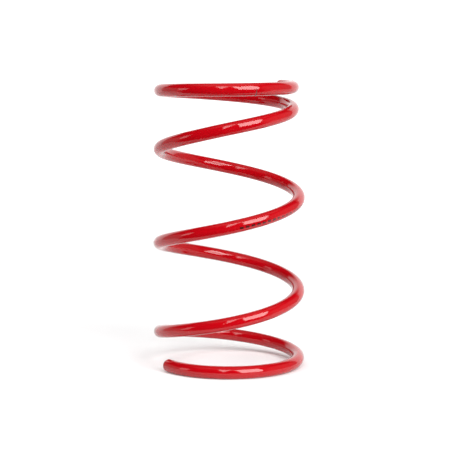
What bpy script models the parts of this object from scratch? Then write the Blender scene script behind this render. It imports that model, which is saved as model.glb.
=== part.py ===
"""Automotive suspension coil spring, free length, standing on its lower end coil.

The real spring is one round wire wound right-handed. Under load the wire twists about its own centreline,
so the wire is divided across its section into arcs: a still lower end coil, a row of arcs that twist against
each other, and an upper end coil. The lower eight arcs hang on the lower end coil and the upper eight on the
upper one, and the two rows meet in the middle of the spring.

Frame: +Z is the spring's axis, the origin lies on that axis in the plane that the spring stands on.
Coil angles run anticlockwise seen from above, in degrees, with 0 at +X and one turn every 360.
"""

import math

import bpy

# ---------------------------------------------------------------- driving dimensions (metres, degrees)
WIRE_DIAMETER = 0.0125
COIL_RADIUS = 0.0688         # mean radius of the active coils, at the wire's centre
ACTIVE_PITCH = 0.093         # rise of one active turn
END_PITCH = 0.004            # rise of one turn of the closed upper end coil

LOWER_TIP = -144.0           # coil angle of the lower cut end
RISE_START, RISE_FULL = -45.0, 470.0      # the flat lower coil lifts into the active pitch
RISE_EASE = 2.67             # above 1 the pitch opens early and settles slowly
CLOSE_START, CLOSE_FULL = 987.0, 1346.0   # the active pitch closes into the upper end coil
CLOSE_EASE = 0.66            # below 1 the pitch closes early and settles slowly
UPPER_TIP = 1479.0           # coil angle of the upper cut end

TUCK_FACTOR = 0.945          # the upper end coil is wound to a smaller radius
TUCK_START, TUCK_FULL = 826.0, 1000.0
UPPER_OFFSET_X = -0.0025     # and sits a little off the spring's axis

# ---------------------------------------------------------------- division of the wire
LOWER_COIL_END = 40.0        # coil angle where the first twisting arc begins
UPPER_COIL_START = 1128.0    # coil angle where the upper end coil begins
ARC_COUNT = 16               # twisting arcs between the two end coils
BUTT_GAP = 0.0004            # clearance between the flat ends of neighbouring arcs

# ---------------------------------------------------------------- mesh fineness
RING_STEP = 8.0              # coil angle between two sections of the wire, at most
END_RING_STEP = 0.6          # the first and last stretch is short, so a cut end is square to the wire
WIRE_BEVEL_RESOLUTION = 4    # a curve's bevel has 4 + 2 x this many sides
WIRE_SIDES = 4 + 2 * WIRE_BEVEL_RESOLUTION

RED_POWDER_COAT = (0.62, 0.006, 0.012, 1.0)


# ---------------------------------------------------------------- the wire's centreline
def share(angle, start, full):
    """How far an angle lies from start to full, from 0 to 1."""
    return min(max((angle - start) / (full - start), 0.0), 1.0)


def risen_angle(angle):
    """Integral up to angle of the opening of the pitch, which goes as 1 - (1 - t) ** RISE_EASE."""
    t = share(angle, RISE_START, RISE_FULL)
    eased = t - (1.0 - (1.0 - t) ** (RISE_EASE + 1.0)) / (RISE_EASE + 1.0)
    return (RISE_FULL - RISE_START) * eased + max(angle - RISE_FULL, 0.0)


def closed_angle(angle):
    """Integral up to angle of the closing of the pitch, which goes as t ** CLOSE_EASE."""
    t = share(angle, CLOSE_START, CLOSE_FULL)
    eased = t ** (CLOSE_EASE + 1.0) / (CLOSE_EASE + 1.0)
    return (CLOSE_FULL - CLOSE_START) * eased + max(angle - CLOSE_FULL, 0.0)


def centreline(angle):
    """The wire's centre at a coil angle."""
    climb = ACTIVE_PITCH * risen_angle(angle) - (ACTIVE_PITCH - END_PITCH) * closed_angle(angle)
    t = share(angle, TUCK_START, TUCK_FULL)
    tuck = t * t * (3.0 - 2.0 * t)
    radius = COIL_RADIUS * (1.0 - (1.0 - TUCK_FACTOR) * tuck)
    turn = math.radians(angle)
    return (
        radius * math.cos(turn) + UPPER_OFFSET_X * tuck,
        radius * math.sin(turn),
        0.5 * WIRE_DIAMETER + climb / 360.0,
    )


def ring_angles(start, end):
    """Coil angles of the wire's sections along one piece: even steps, with a short one at each end."""
    inner_start, inner_end = start + END_RING_STEP, end - END_RING_STEP
    steps = math.ceil((inner_end - inner_start) / RING_STEP)
    inner = [inner_start + (inner_end - inner_start) * i / steps for i in range(steps + 1)]
    return [start] + inner + [end]


# ---------------------------------------------------------------- materials and objects
def powder_coat(name):
    """Glossy red powder coat on spring steel."""
    material = bpy.data.materials.new(name)
    material.use_nodes = True
    shader = material.node_tree.nodes["Principled BSDF"]
    shader.inputs["Base Color"].default_value = RED_POWDER_COAT
    shader.inputs["Roughness"].default_value = 0.12
    shader.inputs["Metallic"].default_value = 0.0
    shader.inputs["Coat Weight"].default_value = 1.0
    shader.inputs["Coat Roughness"].default_value = 0.05
    return material


def wire_piece(name, start, end, pivot_angle, parent, collection):
    """One length of the round wire, its origin on the centreline at the pivot's coil angle.

    The section's flats lie at the wire's radius, and it is tilted by half a side, so that flats face
    straight down and up where the coil is level.
    """
    pivot = centreline(pivot_angle)
    curve = bpy.data.curves.new(name, "CURVE")
    curve.dimensions = "3D"
    curve.twist_mode = "Z_UP"
    curve.bevel_depth = 0.5 * WIRE_DIAMETER / math.cos(math.pi / WIRE_SIDES)
    curve.bevel_resolution = WIRE_BEVEL_RESOLUTION
    curve.use_fill_caps = True
    angles = ring_angles(start, end)
    spline = curve.splines.new("POLY")
    spline.points.add(len(angles) - 1)
    for point, angle in zip(spline.points, angles):
        point.co = (*(c - p for c, p in zip(centreline(angle), pivot)), 1.0)
        point.tilt = math.pi / WIRE_SIDES
    spline.use_smooth = True
    curve.materials.append(powder_coat("red_powder_coat_" + name))
    piece = bpy.data.objects.new(name, curve)
    collection.objects.link(piece)
    piece.location = pivot
    if parent is not None:
        piece.parent = parent
        piece.location -= parent.matrix_world.translation
    bpy.context.view_layer.update()
    return piece


# ---------------------------------------------------------------- the spring
def build_spring():
    collection = bpy.data.collections.new("coil_spring")
    bpy.context.scene.collection.children.link(collection)

    trim = math.degrees(0.5 * BUTT_GAP / COIL_RADIUS)
    arc_span = (UPPER_COIL_START - LOWER_COIL_END) / ARC_COUNT
    joints = [LOWER_COIL_END + arc_span * i for i in range(ARC_COUNT + 1)]

    lower_coil = wire_piece("lower_end_coil", LOWER_TIP, joints[0] - trim, LOWER_TIP, None, collection)
    upper_coil = wire_piece("upper_end_coil", joints[-1] + trim, UPPER_TIP, UPPER_TIP, lower_coil, collection)

    half = ARC_COUNT // 2
    parent = lower_coil
    for i in range(half):
        name = f"wire_arc_{i + 1:02d}"
        parent = wire_piece(name, joints[i] + trim, joints[i + 1] - trim, joints[i], parent, collection)
    parent = upper_coil
    for i in range(ARC_COUNT - 1, half - 1, -1):
        name = f"wire_arc_{i + 1:02d}"
        parent = wire_piece(name, joints[i] + trim, joints[i + 1] - trim, joints[i + 1], parent, collection)


def clear_scene():
    for old in list(bpy.data.objects):
        bpy.data.objects.remove(old, do_unlink=True)


clear_scene()
build_spring()
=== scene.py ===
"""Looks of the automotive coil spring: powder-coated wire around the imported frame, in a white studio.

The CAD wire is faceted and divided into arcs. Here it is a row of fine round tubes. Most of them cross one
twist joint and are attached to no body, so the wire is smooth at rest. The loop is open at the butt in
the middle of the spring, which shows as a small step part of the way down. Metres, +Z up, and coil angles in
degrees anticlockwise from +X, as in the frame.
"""
import math

import bpy
import numpy as np
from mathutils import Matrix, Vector


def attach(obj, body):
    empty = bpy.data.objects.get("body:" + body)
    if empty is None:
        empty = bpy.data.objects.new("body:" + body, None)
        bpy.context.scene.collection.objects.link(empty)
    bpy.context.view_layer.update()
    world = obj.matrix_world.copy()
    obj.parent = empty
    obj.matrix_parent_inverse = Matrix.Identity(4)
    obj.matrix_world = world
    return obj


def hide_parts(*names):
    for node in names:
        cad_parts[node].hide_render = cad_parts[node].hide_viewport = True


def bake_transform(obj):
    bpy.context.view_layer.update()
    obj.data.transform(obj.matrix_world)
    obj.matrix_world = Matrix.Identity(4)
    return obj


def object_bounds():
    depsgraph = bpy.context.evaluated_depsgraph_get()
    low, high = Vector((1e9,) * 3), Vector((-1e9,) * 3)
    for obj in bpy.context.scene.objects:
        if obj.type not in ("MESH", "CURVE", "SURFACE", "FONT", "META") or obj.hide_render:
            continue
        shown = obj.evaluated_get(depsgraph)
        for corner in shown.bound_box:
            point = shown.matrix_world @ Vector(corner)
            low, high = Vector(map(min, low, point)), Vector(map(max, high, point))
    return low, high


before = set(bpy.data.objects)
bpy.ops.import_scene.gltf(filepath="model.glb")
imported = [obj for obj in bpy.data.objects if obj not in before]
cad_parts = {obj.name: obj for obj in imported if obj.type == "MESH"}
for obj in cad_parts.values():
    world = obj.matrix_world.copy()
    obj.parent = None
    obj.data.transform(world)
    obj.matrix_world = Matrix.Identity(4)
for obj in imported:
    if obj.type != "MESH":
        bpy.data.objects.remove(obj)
CAD_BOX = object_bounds()

# ---------------------------------------------------------------- the wire, as in the CAD
WIRE_RADIUS = 0.00625
COIL_RADIUS = 0.0688
ACTIVE_PITCH = 0.093
END_PITCH = 0.004
LOWER_TIP, UPPER_TIP = -144.0, 1479.0
RISE_START, RISE_FULL, RISE_EASE = -45.0, 470.0, 2.67
CLOSE_START, CLOSE_FULL, CLOSE_EASE = 987.0, 1346.0, 0.66
TUCK_FACTOR, TUCK_START, TUCK_FULL = 0.945, 826.0, 1000.0
UPPER_OFFSET_X = -0.0025
LOWER_COIL_END, UPPER_COIL_START = 40.0, 1128.0

ARC_COUNT = 16
ARC_SPAN = (UPPER_COIL_START - LOWER_COIL_END) / ARC_COUNT
LOWER_ARCS = ARC_COUNT // 2
BUTT_RELIEF = 0.00017        # wedge cut from the inner side of the open butt, which closes at full travel

# ---------------------------------------------------------------- mesh fineness
RING_STEP = 1.5              # coil angle between rings
RING_SIDES = 56
TIP_ROUNDING = 0.0009        # radius of the coated edge of a cut end
TIP_ROUNDING_RINGS = 8
TIP_FACE_RINGS = 6

# ---------------------------------------------------------------- marks on the coat
HOOK_MARK = 1379.5           # coil angle of the line that the coating hook left
DASHES_START = 643.0         # coil angle of the first ink dash
DASH_PITCH = 0.0052          # along the wire
DASH_COUNT = 15

# ---------------------------------------------------------------- the coat: metres, and linear colours
WAVE_RELIEF, PEEL_RELIEF, DRAW_LINE_RELIEF = 0.000045, 0.000022, 0.000004
NIB_RELIEF, SHEAR_RELIEF = 0.00005, 0.00012
RUB_RELIEF, HOOK_RELIEF = -0.00001, -0.00006
DARK_RED, LIGHT_RED = (0.345, 0.0008, 0.0038, 1.0), (0.425, 0.0018, 0.0052, 1.0)
PEEL_RED = (0.30, 0.0008, 0.0036, 1.0)
NIB_PINK = (0.62, 0.16, 0.15, 1.0)
RUBBED_RED = (0.33, 0.075, 0.07, 1.0)
CUT_RED = (0.20, 0.012, 0.014, 1.0)
THIN_RIM = (0.10, 0.018, 0.016, 1.0)
BARE_HOOK_LINE = (0.045, 0.035, 0.032, 1.0)
INK = (0.012, 0.008, 0.008, 1.0)
LEAST_ROUGHNESS, MOST_ROUGHNESS = 0.045, 0.09
COAT_IOR = 1.5


def share(angle, start, full):
    """How far an angle lies from start to full, from 0 to 1."""
    return min(max((angle - start) / (full - start), 0.0), 1.0)


def centreline(angle):
    """The wire's centre at a coil angle."""
    t = share(angle, RISE_START, RISE_FULL)
    eased = t - (1.0 - (1.0 - t) ** (RISE_EASE + 1.0)) / (RISE_EASE + 1.0)
    risen = (RISE_FULL - RISE_START) * eased + max(angle - RISE_FULL, 0.0)
    t = share(angle, CLOSE_START, CLOSE_FULL)
    eased = t ** (CLOSE_EASE + 1.0) / (CLOSE_EASE + 1.0)
    closed = (CLOSE_FULL - CLOSE_START) * eased + max(angle - CLOSE_FULL, 0.0)
    climb = ACTIVE_PITCH * risen - (ACTIVE_PITCH - END_PITCH) * closed
    t = share(angle, TUCK_START, TUCK_FULL)
    tuck = t * t * (3.0 - 2.0 * t)
    radius = COIL_RADIUS * (1.0 - (1.0 - TUCK_FACTOR) * tuck)
    turn = math.radians(angle)
    return Vector((
        radius * math.cos(turn) + UPPER_OFFSET_X * tuck,
        radius * math.sin(turn),
        WIRE_RADIUS + climb / 360.0,
    ))


def section(angle):
    """Centre, outward direction, upward direction and tangent of the wire at a coil angle."""
    tangent = (centreline(angle + 0.05) - centreline(angle - 0.05)).normalized()
    turn = math.radians(angle)
    outward = Vector((math.cos(turn), math.sin(turn), 0.0))
    outward = (outward - tangent * outward.dot(tangent)).normalized()
    return centreline(angle), outward, outward.cross(tangent), tangent


def wire_length(angle):
    """Length of the wire from the lower tip at the mean radius, near enough for a pattern."""
    return math.radians(angle - LOWER_TIP) * COIL_RADIUS


# ---------------------------------------------------------------- wire meshes
def tube_rings(start, end, cut_start, cut_end):
    """The tube's rings as (coil angle, shift along the wire, share of the radius, lean of the surface).

    The lean is the angle of the surface's normal from straight out, positive towards the wire's upper end.
    """
    inset = math.degrees(TIP_ROUNDING / COIL_RADIUS)
    rim = 1.0 - TIP_ROUNDING / WIRE_RADIUS
    turns = [0.5 * math.pi * i / TIP_ROUNDING_RINGS for i in range(TIP_ROUNDING_RINGS + 1)]
    cap = [(TIP_ROUNDING * math.sin(t), rim + (1.0 - rim) * math.cos(t), t) for t in turns]
    shares = [1.0 - i / TIP_FACE_RINGS for i in range(1, TIP_FACE_RINGS)]
    cap += [(TIP_ROUNDING, rim * part, 0.5 * math.pi) for part in shares]
    first = start + inset if cut_start else start
    last = end - inset if cut_end else end
    steps = math.ceil((last - first) / RING_STEP)
    rings = [(first + (last - first) * i / steps, 0.0, 1.0, 0.0) for i in range(steps + 1)]
    if cut_start:
        rings = [(first, -shift, size, -lean) for shift, size, lean in reversed(cap)] + rings[1:]
    if cut_end:
        rings = rings[:-1] + [(last, shift, size, lean) for shift, size, lean in cap]
    return rings


def wire_piece(name, start, end, material, cut_start=False, cut_end=False, butt=0):
    """One length of round wire as a closed mesh with the wire's true normals.

    Its wire_point attribute is the same point on the straight wire: the length along it, then the place in
    the section. cut_edge is 1 on the rim and face of a cut end. butt is 1 where the piece starts at the open
    butt and -1 where it ends there: that end is relieved towards the inner side of the coil.
    """
    points, normals, straight, edge_mask = [], [], [], []
    rings = tube_rings(start, end, cut_start, cut_end)
    butt_angle = start if butt > 0 else end
    for angle, shift, size, lean in rings:
        centre, outward, upward, tangent = section(angle)
        length = wire_length(angle) + shift
        relief = 0.25 * BUTT_RELIEF * butt if angle == butt_angle else 0.0
        for i in range(RING_SIDES):
            around = 2.0 * math.pi * i / RING_SIDES
            c, s = math.cos(around), math.sin(around)
            out = outward * c + upward * s
            points.append(centre + tangent * (shift + relief * (1.0 - c)) + out * (WIRE_RADIUS * size))
            normals.append(out * math.cos(lean) + tangent * math.sin(lean))
            straight.append((length, WIRE_RADIUS * size * c, WIRE_RADIUS * size * s))
            edge_mask.append(1.0 if lean else 0.0)
    faces = []
    for ring in range(len(rings) - 1):
        for i in range(RING_SIDES):
            j = (i + 1) % RING_SIDES
            a, b = ring * RING_SIDES, (ring + 1) * RING_SIDES
            faces.append((a + i, b + i, b + j, a + j))
    corner_normals = [normals[corner] for face in faces for corner in face]
    for ring, side in ((0, -1.0), (len(rings) - 1, 1.0)):
        angle, shift, _size, lean = rings[ring]
        centre, _outward, _upward, tangent = section(angle)
        middle = len(points)
        relief = 0.25 * BUTT_RELIEF * butt if angle == butt_angle else 0.0
        points.append(centre + tangent * (shift + relief))
        straight.append((wire_length(angle) + shift, 0.0, 0.0))
        edge_mask.append(1.0 if lean else 0.0)
        for i in range(RING_SIDES):
            a, b = ring * RING_SIDES + i, ring * RING_SIDES + (i + 1) % RING_SIDES
            faces.append((a, middle, b) if side > 0.0 else (b, middle, a))
            corner_normals += [tangent * side] * 3
    mesh = bpy.data.meshes.new(name)
    mesh.from_pydata(points, [], faces)
    attribute = mesh.attributes.new("wire_point", "FLOAT_VECTOR", "POINT")
    attribute.data.foreach_set("vector", np.array(straight, np.float32).ravel())
    attribute = mesh.attributes.new("cut_edge", "FLOAT", "POINT")
    attribute.data.foreach_set("value", np.array(edge_mask, np.float32))
    mesh.polygons.foreach_set("use_smooth", [True] * len(faces))
    mesh.update()
    mesh.normals_split_custom_set(corner_normals)
    mesh.materials.append(material)
    piece = bpy.data.objects.new(name, mesh)
    bpy.context.scene.collection.objects.link(piece)
    return piece


def build_wire(material):
    """The whole wire: two rigid end coils, a length over each twist joint, and the open butt."""
    def joint_angle(i):
        return LOWER_COIL_END + ARC_SPAN * i

    half = 0.5 * ARC_SPAN
    arcs = [f"wire_arc_{k:02d}" for k in range(1, ARC_COUNT + 1)]
    bodies = ["lower_end_coil"] + arcs + ["upper_end_coil"]

    lower = wire_piece("lower_end_wire", LOWER_TIP, joint_angle(0) - half, material, cut_start=True)
    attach(lower, "lower_end_coil")
    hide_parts("lower_end_coil")
    upper = wire_piece("upper_end_wire", joint_angle(ARC_COUNT) + half, UPPER_TIP, material, cut_end=True)
    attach(upper, "upper_end_coil")
    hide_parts("upper_end_coil")
    pieces = [lower, upper]

    for i in range(ARC_COUNT + 1):
        middle = joint_angle(i)
        below, above = bodies[i], bodies[i + 1]
        if i == LOWER_ARCS:
            for name, start, end, body, butt in (
                ("middle_wire_lower", middle - half, middle, below, -1),
                ("middle_wire_upper", middle, middle + half, above, 1),
            ):
                piece = wire_piece(name, start, end, material, butt=butt)
                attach(piece, body)
                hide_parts(body)
                pieces.append(piece)
            continue
        arc = above if i < LOWER_ARCS else below
        piece = wire_piece(arc.replace("wire_arc", "bending_wire"), middle - half, middle + half, material)
        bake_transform(piece)
        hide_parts(arc)
        pieces.append(piece)
    return pieces


# ---------------------------------------------------------------- materials
class NodeMaker:
    """Short calls that add shader nodes. A value is a number, a tuple, or another node's output."""

    def __init__(self, tree):
        self.nodes, self.links = tree.nodes, tree.links

    def feed(self, socket, value):
        if isinstance(value, bpy.types.NodeSocket):
            self.links.new(value, socket)
        else:
            socket.default_value = value

    def add(self, kind, **settings):
        node = self.nodes.new(kind)
        for name, value in settings.items():
            setattr(node, name, value)
        return node

    def maths(self, operation, a, b=0.0):
        node = self.add("ShaderNodeMath", operation=operation)
        self.feed(node.inputs[0], a)
        self.feed(node.inputs[1], b)
        return node.outputs["Value"]

    def product(self, first, *others):
        for other in others:
            first = self.maths("MULTIPLY", first, other)
        return first

    def total(self, first, *others):
        for other in others:
            first = self.maths("ADD", first, other)
        return first

    def most(self, first, *others):
        for other in others:
            first = self.maths("MAXIMUM", first, other)
        return first

    def step(self, value, low, high, start=0.0, end=1.0):
        """Smooth change from start to end as a value goes from low to high."""
        node = self.add("ShaderNodeMapRange", interpolation_type="SMOOTHSTEP")
        self.feed(node.inputs["Value"], value)
        for name, number in (("From Min", low), ("From Max", high), ("To Min", start), ("To Max", end)):
            self.feed(node.inputs[name], number)
        return node.outputs["Result"]

    def window(self, value, start, end, soft):
        """1 between start and end, with soft edges outside."""
        rise = self.step(value, start - soft, start)
        return self.product(rise, self.step(value, end, end + soft, 1.0, 0.0))

    def scaled(self, vector, factors):
        node = self.add("ShaderNodeVectorMath", operation="MULTIPLY")
        self.feed(node.inputs[0], vector)
        self.feed(node.inputs[1], factors)
        return node.outputs["Vector"]

    def dot(self, vector, other):
        node = self.add("ShaderNodeVectorMath", operation="DOT_PRODUCT")
        self.feed(node.inputs[0], vector)
        self.feed(node.inputs[1], other)
        return node.outputs["Value"]

    def noise(self, vector, detail=2.0):
        node = self.add("ShaderNodeTexNoise")
        self.feed(node.inputs["Vector"], vector)
        self.feed(node.inputs["Scale"], 1.0)
        self.feed(node.inputs["Detail"], detail)
        return node.outputs["Fac"]

    def cells(self, vector):
        """Distance to the nearest cell centre, and a number that each cell draws."""
        node = self.add("ShaderNodeTexVoronoi")
        self.feed(node.inputs["Vector"], vector)
        self.feed(node.inputs["Scale"], 1.0)
        split = self.add("ShaderNodeSeparateColor")
        self.links.new(node.outputs["Color"], split.inputs["Color"])
        return node.outputs["Distance"], split.outputs["Red"]

    def mix(self, factor, a, b):
        node = self.add("ShaderNodeMix", data_type="RGBA")
        self.feed(node.inputs["Factor"], factor)
        self.feed(node.inputs["A"], a)
        self.feed(node.inputs["B"], b)
        return next(out for out in node.outputs if out.type == "RGBA")

    def attribute(self, name):
        return self.add("ShaderNodeAttribute", attribute_name=name)


def powder_coat():
    """Gloss red powder coat over round spring wire.

    The film has orange peel, longer waves from the wire beneath, faint lengthwise draw lines, dust nibs and
    patches of slightly lower gloss. It is thin and dull on the cut ends, and rubbed where the spring is
    seated.
    """
    material = bpy.data.materials.new("red_powder_coat")
    material.use_nodes = True
    make = NodeMaker(material.node_tree)
    shader = material.node_tree.nodes["Principled BSDF"]
    point = make.attribute("wire_point").outputs["Vector"]
    cut = make.attribute("cut_edge").outputs["Fac"]
    split = make.add("ShaderNodeSeparateXYZ")
    make.feed(split.inputs[0], point)
    length, out, up = split.outputs["X"], split.outputs["Y"], split.outputs["Z"]
    height = make.maths("DIVIDE", up, WIRE_RADIUS)

    waves = make.noise(make.scaled(point, (60.0, 90.0, 90.0)), 1.0)
    peel = make.noise(make.scaled(point, (430.0, 480.0, 480.0)), 2.0)
    draw_lines = make.noise(make.scaled(point, (22.0, 1500.0, 1500.0)), 2.0)
    patches = make.noise(make.scaled(point, (38.0, 90.0, 90.0)), 3.0)
    blotches = make.noise(make.scaled(point, (16.0, 45.0, 45.0)), 2.0)

    # dust nibs under the film, more of them on the lower end coil
    nib_distance, nib_draw = make.cells(make.scaled(point, (240.0, 240.0, 240.0)))
    rarity = make.step(length, wire_length(-40.0), wire_length(60.0), 0.80, 0.955)
    nibs = make.product(
        make.step(nib_distance, 0.09, 0.15, 1.0, 0.0),
        make.step(make.maths("SUBTRACT", nib_draw, rarity), 0.0, 0.01),
    )

    # rubbed lines where the end coils meet their seats
    rub_edge = make.step(patches, 0.35, 0.65, 0.978, 0.996)
    below_edge = make.maths("ADD", make.product(height, -1.0), make.product(rub_edge, -1.0))
    lower_rub = make.product(
        make.step(below_edge, -0.004, 0.004),
        make.step(length, wire_length(-20.0), wire_length(20.0), 1.0, 0.0),
    )
    upper_rub = make.product(
        make.step(make.maths("SUBTRACT", height, rub_edge), -0.004, 0.004),
        make.step(length, wire_length(1290.0), wire_length(1330.0)),
    )
    rubbed = make.product(make.most(lower_rub, upper_rub), make.step(peel, 0.35, 0.6, 0.35, 1.0))

    # thin film on the rim of a cut end, and shear lines across its face
    radial = make.maths("SQRT", make.maths("ADD", make.product(out, out), make.product(up, up)))
    rim = make.product(cut, make.window(radial, 0.88 * WIRE_RADIUS, 0.985 * WIRE_RADIUS, 0.05 * WIRE_RADIUS))
    thin = make.product(rim, make.step(patches, 0.38, 0.6, 0.35, 1.0))
    shear = make.noise(make.scaled(point, (100.0, 260.0, 1500.0)), 3.0)

    # bare line that the coating hook left on the upper end coil, wider at its lower end
    hook_half_width = make.step(height, -0.9, 0.1, 0.00055, 0.00022)
    from_hook = make.maths("ABSOLUTE", make.maths("SUBTRACT", length, wire_length(HOOK_MARK)))
    hook = make.product(
        make.step(make.maths("SUBTRACT", from_hook, hook_half_width), -0.0001, 0.0002, 1.0, 0.0),
        make.window(height, -0.94, 0.12, 0.06),
        make.step(out, 0.0, 0.0005),
    )

    # a row of plain ink dashes, worn away towards one end
    along = make.maths("SUBTRACT", length, wire_length(DASHES_START))
    dash_phase = make.maths("FRACT", make.maths("DIVIDE", along, DASH_PITCH))
    ink = make.product(
        make.window(dash_phase, 0.12, 0.72, 0.04),
        make.window(along, 0.0, DASH_PITCH * DASH_COUNT, 0.0001),
        make.window(height, -0.46, -0.14, 0.03),
        make.step(out, 0.0, 0.0005),
        make.step(peel, 0.3, 0.5, 0.55, 1.0),
        make.step(along, 0.3 * DASH_PITCH * DASH_COUNT, DASH_PITCH * DASH_COUNT, 0.92, 0.4),
    )

    deep = make.mix(blotches, DARK_RED, LIGHT_RED)
    colour = make.mix(make.step(peel, 0.3, 0.7, 0.0, 0.10), deep, PEEL_RED)
    colour = make.mix(make.product(nibs, 0.45), colour, NIB_PINK)
    colour = make.mix(make.product(rubbed, 0.55), colour, RUBBED_RED)
    colour = make.mix(make.product(cut, 0.35), colour, CUT_RED)
    colour = make.mix(make.product(thin, 0.6), colour, THIN_RIM)
    colour = make.mix(make.product(hook, 0.85), colour, BARE_HOOK_LINE)
    colour = make.mix(ink, colour, INK)
    make.feed(shader.inputs["Base Color"], colour)

    gloss = make.total(
        make.step(patches, 0.35, 0.7, LEAST_ROUGHNESS, MOST_ROUGHNESS),
        make.product(nibs, 0.12),
        make.product(rubbed, 0.36),
        make.product(cut, make.step(shear, 0.3, 0.7, 0.10, 0.30)),
        make.product(hook, 0.30),
        make.product(ink, 0.06),
    )
    make.feed(shader.inputs["Roughness"], gloss)
    shader.inputs["IOR"].default_value = COAT_IOR

    relief = make.total(
        make.product(waves, WAVE_RELIEF),
        make.product(peel, PEEL_RELIEF),
        make.product(draw_lines, DRAW_LINE_RELIEF),
        make.product(nibs, NIB_RELIEF),
        make.product(rubbed, RUB_RELIEF),
        make.product(hook, HOOK_RELIEF),
        make.product(cut, shear, SHEAR_RELIEF),
    )
    bump = make.add("ShaderNodeBump")
    make.feed(bump.inputs["Distance"], 1.0)
    make.feed(bump.inputs["Height"], relief)
    make.feed(shader.inputs["Normal"], bump.outputs["Normal"])
    return material


def floor_material():
    """Matt white, a little self-lit, fading into the white surroundings far from the spring."""
    material = bpy.data.materials.new("white_floor")
    material.use_nodes = True
    make = NodeMaker(material.node_tree)
    shader = material.node_tree.nodes["Principled BSDF"]
    shader.inputs["Base Color"].default_value = (FLOOR_WHITE, FLOOR_WHITE, FLOOR_WHITE, 1.0)
    shader.inputs["Roughness"].default_value = 0.8
    shader.inputs["Specular IOR Level"].default_value = 0.0
    shader.inputs["Emission Color"].default_value = (1.0, 1.0, 1.0, 1.0)
    shader.inputs["Emission Strength"].default_value = FLOOR_GLOW
    coords = make.add("ShaderNodeTexCoord")
    distance = make.add("ShaderNodeVectorMath", operation="LENGTH")
    make.feed(distance.inputs[0], coords.outputs["Object"])
    fade = make.step(distance.outputs["Value"], 0.45 * FLOOR_RADIUS, 0.98 * FLOOR_RADIUS, 1.0, 0.0)
    make.feed(shader.inputs["Alpha"], fade)
    return material


# ---------------------------------------------------------------- studio
HEIGHT = CAD_BOX[1].z - CAD_BOX[0].z
AIM = Vector((0.0, 0.0, CAD_BOX[0].z + 0.4817 * HEIGHT))
CAMERA_AZIMUTH = 5.79        # the camera stands a little to the right of straight ahead
CAMERA_ELEVATION = 6.79
CAMERA_DISTANCE = 1.504
CAMERA_LENS = 119.12
FLOOR_RADIUS = 1.6
TABLE_EDGE = -0.13           # nearer the camera than this, the studio is dark
FLOOR_WHITE, FLOOR_GLOW = 0.79, 0.12
BACKDROP, LOW_BACK, WEDGE = 1.35, 0.85, 5.2      # radiance, where white is 1
LEFT_WALL, RIGHT_WALL, CEILING, ROOM = 0.5, 0.32, 0.45, 0.015


def direction(azimuth, elevation):
    """Unit vector towards a place round the spring: azimuth 0 is the front, -Y, and 90 is +X."""
    a, e = math.radians(azimuth), math.radians(elevation)
    return Vector((math.sin(a) * math.cos(e), -math.cos(a) * math.cos(e), math.sin(e)))


def build_camera():
    data = bpy.data.cameras.new("camera")
    data.lens = CAMERA_LENS
    data.sensor_width = 36.0
    data.clip_start, data.clip_end = 0.05, 60.0
    camera = bpy.data.objects.new("camera", data)
    bpy.context.scene.collection.objects.link(camera)
    back = direction(CAMERA_AZIMUTH, CAMERA_ELEVATION)
    camera.location = AIM + back * CAMERA_DISTANCE
    camera.rotation_euler = (-back).to_track_quat("-Z", "Y").to_euler()
    bpy.context.scene.camera = camera


def soft_box(name, azimuth, elevation, distance, width, height, radiance):
    """A rectangular soft box that faces the spring."""
    data = bpy.data.lights.new(name, "AREA")
    data.shape = "RECTANGLE"
    data.size, data.size_y = width, height
    data.energy = radiance * math.pi * width * height
    light = bpy.data.objects.new(name, data)
    bpy.context.scene.collection.objects.link(light)
    out = direction(azimuth, elevation)
    light.location = AIM + out * distance
    light.rotation_euler = (-out).to_track_quat("-Z", "Y").to_euler()
    return light


def floor_part(name, start, end, material):
    """The part of the floor disc between two depths, as a grid of strips."""
    columns = 48
    xs = [FLOOR_RADIUS * (2.0 * i / columns - 1.0) for i in range(columns + 1)]
    points = [(x, y, 0.0) for y in (start, end) for x in xs]
    faces = [(i, i + 1, columns + 2 + i, columns + 1 + i) for i in range(columns)]
    mesh = bpy.data.meshes.new(name)
    mesh.from_pydata(points, [], faces)
    mesh.materials.append(material)
    part = bpy.data.objects.new(name, mesh)
    part.location.z = CAD_BOX[0].z
    bpy.context.scene.collection.objects.link(part)
    return part


def build_floor():
    """White floor. In front of the table edge it doesn't show in reflections: the room there seems dark."""
    material = floor_material()
    floor_part("floor", TABLE_EDGE, FLOOR_RADIUS, material)
    front = floor_part("floor_front", -FLOOR_RADIUS, TABLE_EDGE, material)
    front.visible_glossy = False


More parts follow.
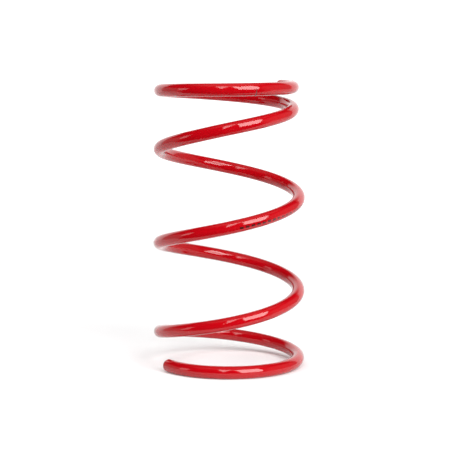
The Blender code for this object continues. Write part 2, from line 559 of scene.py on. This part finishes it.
def build_world():
    """A dark room in front, a white backdrop behind, some light from above. The camera sees plain white."""
    world = bpy.data.worlds.new("studio")
    bpy.context.scene.world = world
    world.use_nodes = True
    make = NodeMaker(world.node_tree)
    background = world.node_tree.nodes["Background"]
    background.inputs["Color"].default_value = (1.0, 1.0, 1.0, 1.0)
    coords = make.add("ShaderNodeTexCoord").outputs["Generated"]
    split = make.add("ShaderNodeSeparateXYZ")
    make.feed(split.inputs[0], coords)
    depth, height = split.outputs["Y"], split.outputs["Z"]

    def facing(azimuth, elevation):
        return make.dot(coords, direction(azimuth, elevation))

    def beside(first, second, soft):
        """1 on the right of the line from one place to another, seen from the spring."""
        normal = direction(*first).cross(direction(*second)).normalized()
        return make.step(make.dot(coords, normal), 0.0, soft)

    below_top = make.step(height, 0.50, 0.68, 1.0, 0.0)
    backdrop = make.product(make.step(facing(-173.0, -5.0), 0.50, 0.60), below_top, BACKDROP)
    low_back = make.product(make.step(height, 0.05, -0.20), make.step(depth, -0.45, 0.45), LOW_BACK)
    below_wall_top = make.step(height, 0.30, 0.55, 1.0, 0.0)
    left_wall = make.product(make.step(facing(-98.0, 0.0), 0.80, 0.93), below_wall_top, LEFT_WALL)
    right_wall = make.product(make.step(facing(100.0, 10.0), 0.70, 0.90), RIGHT_WALL)
    ceiling = make.product(make.step(height, 0.80, 0.97), CEILING)
    wedge = make.product(
        beside((-22.0, 60.0), (-2.0, 9.0), 0.03),
        beside((-2.0, 9.0), (18.0, 60.0), 0.10),
        make.step(height, 0.84, 0.90, 1.0, 0.0),
        make.step(depth, -0.25, -0.15, 1.0, 0.0),
        WEDGE,
    )
    light = make.most(make.total(left_wall, right_wall, ceiling, ROOM), backdrop, low_back, wedge)
    path = make.add("ShaderNodeLightPath")
    make.feed(background.inputs["Strength"], make.most(light, path.outputs["Is Camera Ray"]))


build_wire(powder_coat())
build_floor()
build_camera()
build_world()
soft_box("main_soft_box", 41.0, 30.0, 4.0, 2.5, 3.9, 8.2)
soft_box("left_soft_box", -67.0, 15.0, 4.0, 1.1, 1.7, 1.9)
fill = soft_box("overhead_fill", -60.0, 62.0, 4.0, 3.0, 3.0, 2.2)
fill.visible_glossy = False

scene = bpy.context.scene
scene.view_settings.view_transform = "Standard"
scene.view_settings.look = "None"
